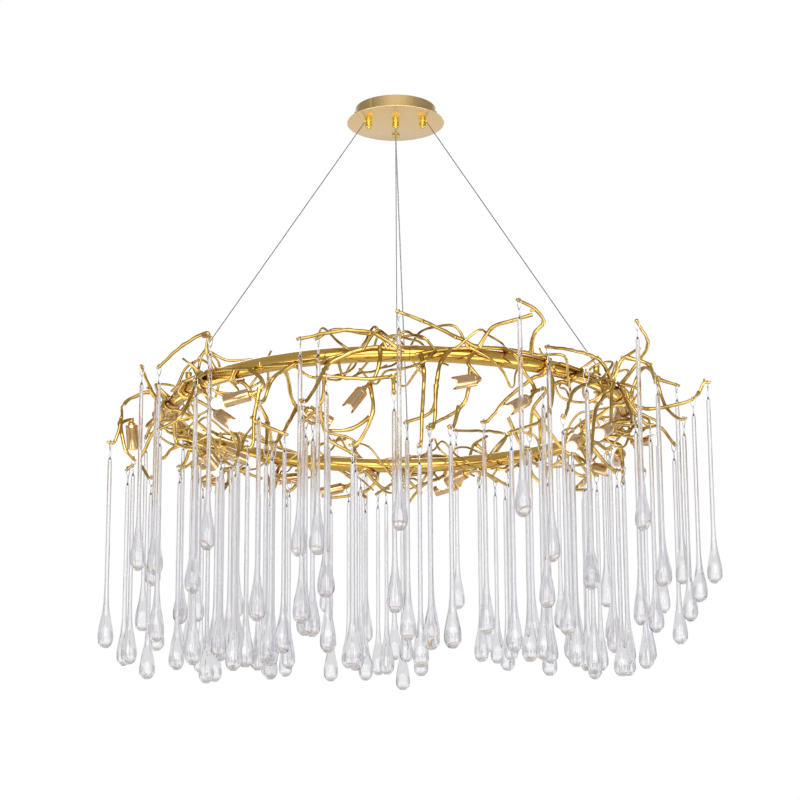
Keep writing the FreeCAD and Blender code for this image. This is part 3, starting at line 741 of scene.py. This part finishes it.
def spur(shell, path, k, radius, rng):
    """A short sawn-off stub on the outer side of a bend."""
    into = (path[k] - path[max(k - BEND_REACH, 0)]).normalized()
    out_of = (path[min(k + BEND_REACH, len(path) - 1)] - path[k]).normalized()
    outward = into - out_of
    if outward.length < SLIGHT_BEND:
        outward = into.orthogonal()
    way = (outward.normalized() * SPUR_OUTWARD + into * SPUR_ONWARD).normalized()
    length = rng.uniform(*SPUR_LENGTH)
    tip = path[k] + way * length
    middle = path[k] + way * (length * 0.5)
    sweep(shell, [path[k], middle, tip, tip + way * SPUR_LIP],
          [radius * share for share in SPUR_TAPER], sides=8)


def stem(shell, layout, rng):
    """The stem winds along the tube, thicker and thinner, with sawn ends. It is smoothed as a
    track of shares of its length and of quarter turns."""
    wind = layout["wind"]
    last = len(wind) - 1
    turns = [Vector((i / last, turn / QUARTER_TURN, 0)) for i, turn in enumerate(wind)]
    track = curve_through(turns, 1 / last / STATION_STEPS)
    path = [stem_point(layout["angle"], layout["facing"], t.x, t.y * QUARTER_TURN) for t in track]
    along = lengths_along(path)
    swell = wobble(rng)
    radii = [STEM_RADIUS * (STEM_FULLNESS + STEM_SWELL * swell(s)) for s in along]
    radii[0] *= STEM_SAWN_SHARE
    radii[-1] *= STEM_SAWN_SHARE
    sweep(shell, path, radii, sides=16)


def near(layouts, centre):
    """The drops and lamps near a point, seen from above."""
    drops, lamps = ([thing for layout in layouts for thing in layout[kind]
                     if (thing[0] - centre).to_2d().length < NEAR_REACH]
                    for kind in ("drops", "lamps"))
    return drops, lamps


def held_lines():
    """The wires, the lead and their bosses, each as its two ends and the room it needs."""
    lines = []
    for name, angle in ANCHOR_ANGLES.items():
        start, end = wire_ends(name)
        lines.append((start, end, WIRE_ROOM))
        lines.append((on_ring(angle, 0, TUBE_SEAT), end, BOSS_ROOM))
    inlet = on_ring(LEAD_INLET_ANGLE, 0, TUBE_SEAT + INLET_HEIGHT)
    lines.append((Vector((0, LEAD_Y, PLATE_FACE)), inlet, WIRE_ROOM))
    lines.append((on_ring(LEAD_INLET_ANGLE, 0, TUBE_SEAT), inlet, BOSS_ROOM))
    return lines


def is_clear(point, drops, lamps, lines):
    """True where a fine twig leaves room for the drops, their swing, the lamps and wires."""
    for start, end, room in lines:
        run = end - start
        share = min(max((point - start).dot(run) / run.length_squared, 0.0), 1.0)
        if (point - start - run * share).length < room:
            return False
    for hook, _, kind in drops:
        below = hook.z - point.z
        if below < -DROP_ROOM:
            continue
        swing = SWING_ROOM * max(0.0, below) if kind == "swing" else 0.0
        if (point - hook).to_2d().length < DROP_ROOM + swing:
            return False
    for back, way in lamps:
        along = min(max((point - back).dot(way), -SOCKET_NECK), LAMP_REACH)
        if (point - back - way * along).length < LAMP_ROOM:
            return False
    return True


def curl_points(layout, rng):
    """A fine twig's bends: it leaves the stem and loops round the tube to a free end."""
    wind = layout["wind"]
    share = rng.uniform(*CURL_ROOTS)
    place = share * (len(wind) - 1)
    before = int(place)
    turn = wind[before] + (wind[before + 1] - wind[before]) * (place - before)
    along = STEM_LENGTH * (share - 0.5)
    points = [stem_point(layout["angle"], layout["facing"], share, turn)]
    heading = rng.choice((-1, 1))
    spin = rng.choice((-1, 1))
    for _ in range(rng.randint(*CURL_BENDS)):
        along += heading * rng.uniform(*CURL_RUN)
        turn += spin * rng.uniform(*CURL_TURN)
        out, up = round_tube(rng.uniform(*CURL_REACH), turn)
        points.append(local_point(layout["angle"], layout["facing"], (along, out, up)))
    return points


def curls(shell, layout, layouts, rng):
    """Fine curls round the tube, each kept only where it is clear of what hangs there."""
    drops, lamps = near(layouts, on_ring(layout["angle"], 0, 0))
    lines = held_lines()
    kept = 0
    for _ in range(CURL_TRIES):
        path = curve_through(curl_points(layout, rng), PATH_STEP)
        clear = all(is_clear(p, drops, lamps, lines) for p in path)
        if kept == CURL_COUNT or not clear:
            continue
        kept += 1
        along = lengths_along(path)
        swell = wobble(rng)
        root, tip = CURL_RADII
        radii = []
        for s in along:
            radius = (root + (tip - root) * s / along[-1]) * (1.0 + CURL_SWELL * swell(s))
            radii.append(radius + knuckle(s, *CURL_BULGE))
        sweep(shell, path, radii, sides=10)


def dress_branch(index, layout, layouts):
    rng = random.Random(BRANCH_SEED + index)
    shell = Shell()
    stem(shell, layout, rng)
    for points, end in zip(layout["paths"], layout["ends"]):
        twig(shell, points, rng, end)
    curls(shell, layout, layouts, random.Random(CURL_SEED + index))
    number = "%02d" % (index + 1)
    shell.make("twigs_" + number, [TWIG_GOLD], "branch_" + number, sharp=50)


# Glass drops

# Steps up from the belly's widest place, in millimetres
NECK_STEPS = (5, 10, 16, 22, 28, 35, 42, 50, 58, 67, 77, 88, 102, 124, 160, 220, 300)
# The rod's rounded end, as a share of its radius and the distance from its top
ROD_END = ((0.94, 6.0), (0.8, 2.4), (0.5, 0.6), (0, 0))
# The wire where it enters the glass, as the distance under the glass's top and its radius
SHANK = ((-2.6, 0.9), (1.2, 1.3), (5.0, 0.8))
WIRE_SLOT = 1


def glass_profile(rng):
    """Radius and height from the foot: round belly, long neck and a rod up to its eyelet."""
    belly = BELLY_RADIUS * rng.uniform(*BELLY_SHARES)
    low = BELLY_HEIGHT * rng.uniform(*HEIGHT_SHARES)
    spread_up = BELLY_SPREAD * rng.uniform(*SPREAD_SHARES)
    rod = ROD_RADIUS * rng.uniform(*ROD_SHARES)
    profile = [(0, 0)]
    for row in range(1, FOOT_ROWS + 1):
        turn = math.pi / 2 * row / FOOT_ROWS
        profile.append((belly * math.sin(turn), low * (1 - math.cos(turn))))
    for step in NECK_STEPS:
        lean = math.exp(-((step / spread_up) ** BELLY_CURVE))
        profile.append((rod + (belly - rod) * lean, low + step))
    top = GLASS_LENGTH + HOOK_DROP - EYELET_DROP
    profile.extend((rod * share, top - below) for share, below in ROD_END)
    return profile


def wire_loop(shell, hook, across, side, top, low, width, radius):
    """A closed loop of wire, pinched towards its lower end."""
    middle = (top + low) / 2
    reach = (top - low) / 2
    path = []
    for i in range(LOOP_POINTS):
        turn = TWO_PI * i / LOOP_POINTS
        wide = width * math.sin(turn) * (1 - LOOP_PINCH + LOOP_PINCH * math.cos(turn))
        path.append(hook + across * wide + UP * (middle + reach * math.cos(turn)))
    sweep(shell, path, [radius] * LOOP_POINTS, sides=6, slot=WIRE_SLOT, closed=True, across=side)


def dimple_foot(shell, first, foot, rng):
    """Small dimples in the rounded foot, which break up the light that it gathers."""
    for row in DIMPLE_ROWS:
        for k in range(GLASS_SIDES):
            index = first + 1 + (row - 1) * GLASS_SIDES + k
            outward = (shell.points[index] - foot - UP * BELLY_HEIGHT).normalized()
            depth = FOOT_DIMPLE * (1 if (row + k) % 2 else -1) * rng.uniform(*DIMPLE_SHARES)
            shell.points[index] = shell.points[index] + outward * depth


def add_drop(shell, hook, way, rng):
    """One drop: a wire loop over the twig, a small eyelet of wire and the glass below it."""
    foot = hook - UP * (HOOK_DROP + GLASS_LENGTH)
    across = way.cross(UP)
    first = len(shell.points)
    lathe(shell, glass_profile(rng), GLASS_SIDES, foot, across=way)
    dimple_foot(shell, first, foot, rng)
    wire_loop(shell, hook, across, way, *HOOK_LOOP)
    wire_loop(shell, hook, way, across, *EYELET_LOOP)
    shank = [hook - UP * (EYELET_DROP + below) for below, _ in SHANK]
    sweep(shell, shank, [radius for _, radius in SHANK], sides=8, slot=WIRE_SLOT)


def dress_drops(layouts):
    """The fixed drops of a branch are one piece, and each swinging drop is its own."""
    finish = [GLASS, SILVER_WIRE]
    swing_count = 0
    for index, layout in enumerate(layouts):
        rng = random.Random(DROP_SEED + index)
        fixed = Shell()
        for hook, way, kind in layout["drops"]:
            if kind == "drop":
                add_drop(fixed, hook, way, rng)
                continue
            swing_count += 1
            number = "%02d" % swing_count
            body = "swing_drop_" + number
            single = Shell()
            add_drop(single, hook, way, rng)
            single.make("glass_swing_" + number, finish, body, body)
        number = "%02d" % (index + 1)
        fixed.make("glass_" + number, finish, "fixed_drops_" + number)


# Lamps

SOCKET_PROFILE = (
    (0, 0.9), (9.6, 1.0), (11.4, 1.8), (12.0, 3.6),
    (12.0, 8.6), (11.6, 9.0), (11.6, 9.8), (12.0, 10.2), (12.0, 49.6), (11.7, 50.6),
    (11.2, 51.0), (10.7, 50.6), (10.6, 44.0), (0, 44.0),
)
BULB_PROFILE = (
    (0, 44.2), (7.4, 44.2), (7.8, 50.0), (9.2, 54.0), (10.8, 58.5), (11.3, 63.5), (10.9, 68.0),
    (9.4, 72.0), (6.6, 75.2), (3.4, 76.8), (0, 77.4),
)
NUB_PROFILE = (
    (0, -9.5), (4.4, -9.5), (5.2, -8.6), (5.4, -6.0), (5.0, -4.6), (6.0, -3.0), (7.4, -1.4),
    (7.6, 0.4), (7.0, 1.3), (0, 1.4),
)


def dress_lamps(layouts):
    sockets = Shell()
    bulbs = Shell()
    for layout in layouts:
        for back, way in layout["lamps"]:
            lathe(sockets, SOCKET_PROFILE, sides=32, foot=back, axis=way)
            lathe(sockets, NUB_PROFILE, sides=20, foot=back, axis=way, slot=1)
            lathe(bulbs, BULB_PROFILE, sides=24, foot=back, axis=way)
    sockets.make("lamp_holders", [ROSE_METAL, TWIG_GOLD], "lamp_sockets",
                 sharp=40)
    bulbs.make("bulbs", [BULB_LIGHT], "lamp_bulbs")


# Ring

def ring_section(shell, index):
    """One curved length of tube with a small chamfer at both ends."""
    start = FIRST_ANGLE + (index - 0.5) * MODULE_ANGLE
    edge = math.degrees(TUBE_CHAMFER / RING_RADIUS)
    stops = [0, edge, *(MODULE_ANGLE * (i + 1) / TUBE_STEPS for i in range(TUBE_STEPS - 1)),
             MODULE_ANGLE - edge, MODULE_ANGLE]
    points = []
    for stop in stops:
        radius = TUBE_RADIUS - TUBE_CHAMFER if stop in (0, MODULE_ANGLE) else TUBE_RADIUS
        for k in range(TUBE_SIDES):
            turn = TWO_PI * k / TUBE_SIDES
            points.append(on_ring(start + stop, radius * math.cos(turn), radius * math.sin(turn)))
    shell.add(points, tube_faces(len(stops), TUBE_SIDES))


ANCHOR_PROFILE = (
    (0, 0), (9.5, 0), (9.5, 1.8), (8.9, 2.7), (7.2, 4.2), (6.5, 6.0), (6.3, 12.0), (6.5, 15.6),
    (6.9, 16.2), (6.9, 18.4), (6.4, 19.3), (4.4, 20.2), (1.9, 20.8), (0, 20.9),
)
INLET_PROFILE = (
    (0, 0), (5.5, 0), (5.5, 8.6), (5.1, 9.6), (3.6, 11.2), (2.2, 12.0), (0, 12.1),
)


def dress_ring():
    tube = Shell()
    for index in range(SECTION_COUNT):
        ring_section(tube, index)
    tube.make("ring", [TUBE_GOLD], "ring_tube", sharp=35)

    bosses = Shell()
    for angle in ANCHOR_ANGLES.values():
        lathe(bosses, ANCHOR_PROFILE, sides=32, foot=on_ring(angle, 0, TUBE_SEAT))
    bosses.make("wire_bosses", [TUBE_GOLD], "ring_anchors", sharp=35)

    inlet = Shell()
    lathe(inlet, INLET_PROFILE, sides=28, foot=on_ring(LEAD_INLET_ANGLE, 0, TUBE_SEAT))
    inlet.make("lead_boss", [TUBE_GOLD], "lead_inlet", sharp=35)


# Canopy

PLATE_TOP = -DRUM_HEIGHT
PLATE_PROFILE = (
    (0, PLATE_FACE), (PLATE_RADIUS - 0.9, PLATE_FACE), (PLATE_RADIUS - 0.3, PLATE_FACE + 0.2),
    (PLATE_RADIUS, PLATE_FACE + 0.6), (PLATE_RADIUS, PLATE_TOP - 0.6),
    (PLATE_RADIUS - 0.3, PLATE_TOP - 0.2), (PLATE_RADIUS - 0.9, PLATE_TOP), (0, PLATE_TOP),
)
DRUM_PROFILE = (
    (DRUM_RADIUS - 1.5, -0.2), (DRUM_RADIUS - 1.2, 0), (DRUM_RADIUS - 0.4, 0),
    (DRUM_RADIUS, -0.5), (DRUM_RADIUS, -DRUM_HEIGHT + 0.6),
    (DRUM_RADIUS - 0.5, -DRUM_HEIGHT + 0.05), (DRUM_RADIUS - 1.5, -DRUM_HEIGHT + 0.05),
    (DRUM_RADIUS - 1.5, -0.2),
)
SEAM_ROWS = range(2, 6)


def dress_canopy():
    """The disc with its rolled edge, and the drum with a seam down its side."""
    plate = Shell()
    lathe(plate, PLATE_PROFILE, sides=128)
    plate.make("canopy_disc", [PLATE_GOLD], "canopy_plate", sharp=30)

    drum = Shell()
    lathe(drum, DRUM_PROFILE, DRUM_SIDES)
    column = round(DRUM_SIDES * SEAM_TURN / 360)
    for row in SEAM_ROWS:
        point = drum.points[row * DRUM_SIDES + column]
        inward = Vector((point.x, point.y, 0)).normalized() * SEAM_DEPTH
        drum.points[row * DRUM_SIDES + column] = point - inward
    # The drum's darker gold is painted shade; the metal is the same as the disc's.
    drum.make("canopy_wall", [DRUM_GOLD_PAINTED_SHADE], "canopy_drum", sharp=30)


GRIPPER_PROFILE = (
    (4.3, 0.6), (4.9, 0.0), (6.3, 0.0), (7.0, 0.8), (7.0, 11.6), (6.7, 12.0), (6.7, 12.7),
    (7.0, 13.1), (7.0, 17.2), (6.5, 17.7), (6.5, 18.2), (7.6, 18.4), (7.6, 19.9), (0, 19.95),
)
BUTTON_PROFILE = (
    (0, -3.0), (2.6, -2.95), (3.5, -2.5), (4.0, -1.5), (4.0, 1.8), (4.9, 1.8), (4.9, 3.0), (0, 3.0),
)
BORE_PROFILE = ((4.3, 0.6), (4.3, 8.0), (0, 8.0))
COLLAR_PROFILE = ((0, -3), (2.4, -3), (2.4, 1.6), (1.9, 2.6), (1.0, 2.9), (0, 2.9))
BUSH_PROFILE = (
    (1.8, 0.2), (2.4, -0.2), (7.0, -0.2), (8.0, 0.8), (8.0, 2.4), (1.8, 2.4), (1.8, 0.2),
)


def wire_ends(name):
    """Where a wire leaves its gripper, at its outer or rear side, and the anchor it goes to."""
    x = GRIPPER_X[name]
    side = (x > 0) - (x < 0)
    rear = 0 if side else 1
    start = Vector((x + side * GRIPPER_RADIUS, GRIPPER_Y + rear * GRIPPER_RADIUS,
                    PLATE_FACE - WIRE_EXIT_DROP))
    return start, on_ring(ANCHOR_ANGLES[name], 0, TUBE_SEAT + ANCHOR_HEIGHT)


def dress_grippers():
    bodies = Shell()
    for name, x in GRIPPER_X.items():
        foot = Vector((x, GRIPPER_Y, PLATE_FACE - GRIPPER_LENGTH))
        lathe(bodies, GRIPPER_PROFILE, sides=32, foot=foot)
        lathe(bodies, BORE_PROFILE, sides=32, foot=foot)
        start, end = wire_ends(name)
        lathe(bodies, COLLAR_PROFILE, sides=20, foot=start, axis=(end - start).normalized())
        button = Shell()
        lathe(button, BUTTON_PROFILE, sides=28, foot=foot)
        body = "gripper_button_" + name
        button.make("release_button_" + name, [FITTING_GOLD], body, body,
                    sharp=35)
    bodies.make("gripper_bodies", [FITTING_GOLD], "wire_grippers", sharp=35)

    bush = Shell()
    lathe(bush, BUSH_PROFILE, sides=36, foot=Vector((0, LEAD_Y, PLATE_FACE - BUSH_THICK)))
    bush.make("cable_bush", [FITTING_GOLD], "lead_bush", sharp=35)


def dress_wires():
    for name in GRIPPER_X:
        start, end = wire_ends(name)
        count = int((end - start).length / ROPE_STEP)
        rope = Shell()
        lay_rope(rope, [start.lerp(end, i / count) for i in range(count + 1)])
        rope.make("steel_rope_" + name, [STEEL_ROPE], "suspension_wire_" + name)

    start = Vector((0, LEAD_Y, -DRUM_HEIGHT))
    below = Vector((0, LEAD_Y, PLATE_FACE - BUSH_THICK - LEAD_BEND))
    in_bush = start.lerp(below, BUSH_SHARE)
    end = on_ring(LEAD_INLET_ANGLE, 0, TUBE_SEAT + INLET_HEIGHT)
    above = end + UP * LEAD_BEND
    run = (below.lerp(above, i / LEAD_STEPS) for i in range(LEAD_STEPS + 1))
    path = [start, in_bush, *run, end]
    lead = Shell()
    sweep(lead, path, [LEAD_RADIUS] * len(path), sides=14)
    across = (end - start).orthogonal().normalized()
    for side in (-CORE_SIDE, CORE_SIDE):
        core = [p + across * side for p in path]
        sweep(lead, core, [CORE_RADIUS] * len(core), sides=8, slot=WIRE_SLOT)
    lead.make("clear_lead", [LEAD_PLASTIC, SILVER_WIRE], "power_lead")


def lay_rope(shell, path):
    """A rope of six strands, as a lobed section that turns along the path."""
    axis = (path[-1] - path[0]).normalized()
    side = axis.orthogonal().normalized()
    other = axis.cross(side)
    points = []
    for i, point in enumerate(path):
        for k in range(ROPE_CORNERS):
            turn = TWO_PI * k / ROPE_CORNERS + i * ROPE_TWIST
            reach = ROPE_RADIUS if k % 2 else ROPE_RADIUS * ROPE_GROOVE
            points.append(round_point(point, side, other, turn, reach))
    shell.add(points, tube_faces(len(path), ROPE_CORNERS))


def dress_hidden_parts():
    """The pieces above the disc keep their own shapes and get their finishes."""
    for node, material in (("mounting_bracket", ZINC_STEEL), ("canopy_screws", FITTING_GOLD),
                           ("gripper_nuts", ZINC_STEEL), ("terminal_block", WHITE_PLASTIC)):
        mesh = frame["nodes"][node].data
        mesh.materials.clear()
        mesh.materials.append(material)


# Stage, light and camera: places in metres, turns in degrees. A strength of 1 is white.

FLOOR_HEIGHT = -2.7
FLOOR_REACH = 120.0
FLOOR_COLOUR = (0.82, 0.82, 0.82, 1)
FLOOR_WHITE = 0.8
PALE_SIDES = 0.6
PALE_CEILING = 0.6
WORLD_LIGHT = 0.3
# How far across or up a ray points where the pale part begins, and where it is full
SIDES_RISE = (0.3, 0.7)
CEILING_RISE = (0.45, 0.8)
LOW_LAMP_TURNS = (-120, -60, 0, 60, 120)
LOW_LAMP_REACH = 2.3
LOW_LAMP_HEIGHT = -2.1
CAMERA_PLACE = (0.0059, -4.658, -1.8426)
CAMERA_PITCH = 14.72
CAMERA_ROLL = -0.309
LENS = 108.6
SENSOR = 36


def sees_background(nodes, links):
    """1 for a ray from the camera, off metal or through glass, which all see one background."""
    path = nodes.new("ShaderNodeLightPath")
    mirrored = math_node(nodes, links, "MAXIMUM", path.outputs["Is Glossy Ray"],
                         path.outputs["Is Transmission Ray"])
    return math_node(nodes, links, "MAXIMUM", path.outputs["Is Camera Ray"], mirrored)


def stage():
    """A pale floor, part white background and part shaded, so that it keeps the shadow."""
    mesh = bpy.data.meshes.new("floor")
    corners = [(x * FLOOR_REACH, y * FLOOR_REACH, FLOOR_HEIGHT)
               for x, y in ((-1, -1), (1, -1), (1, 1), (-1, 1))]
    mesh.from_pydata(corners, [], [(0, 1, 2, 3)])
    floor = new_object("floor", mesh)
    material, nodes, links, shader = new_material("pale_floor")
    shader.inputs["Base Color"].default_value = FLOOR_COLOUR
    shader.inputs["Roughness"].default_value = 0.8
    white = nodes.new("ShaderNodeEmission")
    white.inputs["Color"].default_value = (1, 1, 1, 1)
    seen = nodes.new("ShaderNodeMixShader")
    share = math_node(nodes, links, "MULTIPLY", sees_background(nodes, links), FLOOR_WHITE)
    links.new(share, seen.inputs["Fac"])
    links.new(shader.outputs["BSDF"], seen.inputs[1])
    links.new(white.outputs["Emission"], seen.inputs[2])
    links.new(seen.outputs["Shader"], nodes["Material Output"].inputs["Surface"])
    mesh.materials.append(material)


def world():
    """A white backdrop with a pale ceiling and sides, the same to camera, metal and glass."""
    studio = bpy.data.worlds.new("studio")
    bpy.context.scene.world = studio
    studio.use_nodes = True
    nodes = studio.node_tree.nodes
    links = studio.node_tree.links
    background = nodes["Background"]
    background.inputs["Color"].default_value = (1, 1, 1, 1)
    place = nodes.new("ShaderNodeTexCoord")
    split = nodes.new("ShaderNodeSeparateXYZ")
    links.new(place.outputs["Generated"], split.inputs["Vector"])
    x, _, z = split.outputs
    across = math_node(nodes, links, "ABSOLUTE", x)
    ceiling = remap(nodes, links, z, CEILING_RISE, (1.0, PALE_CEILING), smooth=True)
    sides = remap(nodes, links, across, SIDES_RISE, (1.0, PALE_SIDES), smooth=True)
    room = math_node(nodes, links, "MINIMUM", ceiling, sides)
    mix = nodes.new("ShaderNodeMix")
    for socket, value in ((0, sees_background(nodes, links)), (2, WORLD_LIGHT), (3, room)):
        feed(links, mix.inputs[socket], value)
    links.new(mix.outputs[0], background.inputs["Strength"])


def area_lamp(name, place, size, brightness):
    """A soft lamp aimed at the ring. Its brightness counts the white backdrop as 1."""
    data = bpy.data.lights.new(name, "AREA")
    data.shape = "RECTANGLE"
    data.size, data.size_y = size
    data.energy = brightness * math.pi * size[0] * size[1]
    lamp = new_object(name, data)
    lamp.location = place
    aim = Vector((0, 0, -RING_DROP * MM)) - Vector(place)
    lamp.rotation_euler = aim.to_track_quat("-Z", "Y").to_euler()
    lamp.visible_camera = False
    lamp.visible_transmission = False


def studio_lamps():
    area_lamp("front", place=(0.0, -3.6, -0.1), size=(5.4, 2.0), brightness=3.2)
    area_lamp("rear", place=(0.0, 3.6, 1.5), size=(5.0, 1.6), brightness=2.0)
    for turn in LOW_LAMP_TURNS:
        way = math.radians(turn)
        place = (LOW_LAMP_REACH * math.sin(way), -LOW_LAMP_REACH * math.cos(way), LOW_LAMP_HEIGHT)
        area_lamp("low_%d" % turn, place, size=(2.2, 1.3), brightness=2.2)


def camera():
    """The view is from below and in front, on a long lens."""
    data = bpy.data.cameras.new("camera")
    data.sensor_width = SENSOR
    data.lens = LENS
    view = new_object("camera", data)
    pitch = Matrix.Rotation(math.radians(90 + CAMERA_PITCH), 4, "X")
    roll = Matrix.Rotation(math.radians(CAMERA_ROLL), 4, "Z")
    view.matrix_world = Matrix.Translation(CAMERA_PLACE) @ (pitch @ roll)
    bpy.context.scene.camera = view


layouts = [branch_layout(i) for i in range(SECTION_COUNT)]
for number, branch in enumerate(layouts):
    dress_branch(number, branch, layouts)
dress_drops(layouts)
dress_lamps(layouts)
dress_ring()
dress_canopy()
dress_grippers()
dress_wires()
dress_hidden_parts()
stage()
world()
studio_lamps()
camera()
bpy.context.scene.view_settings.view_transform = "Standard"
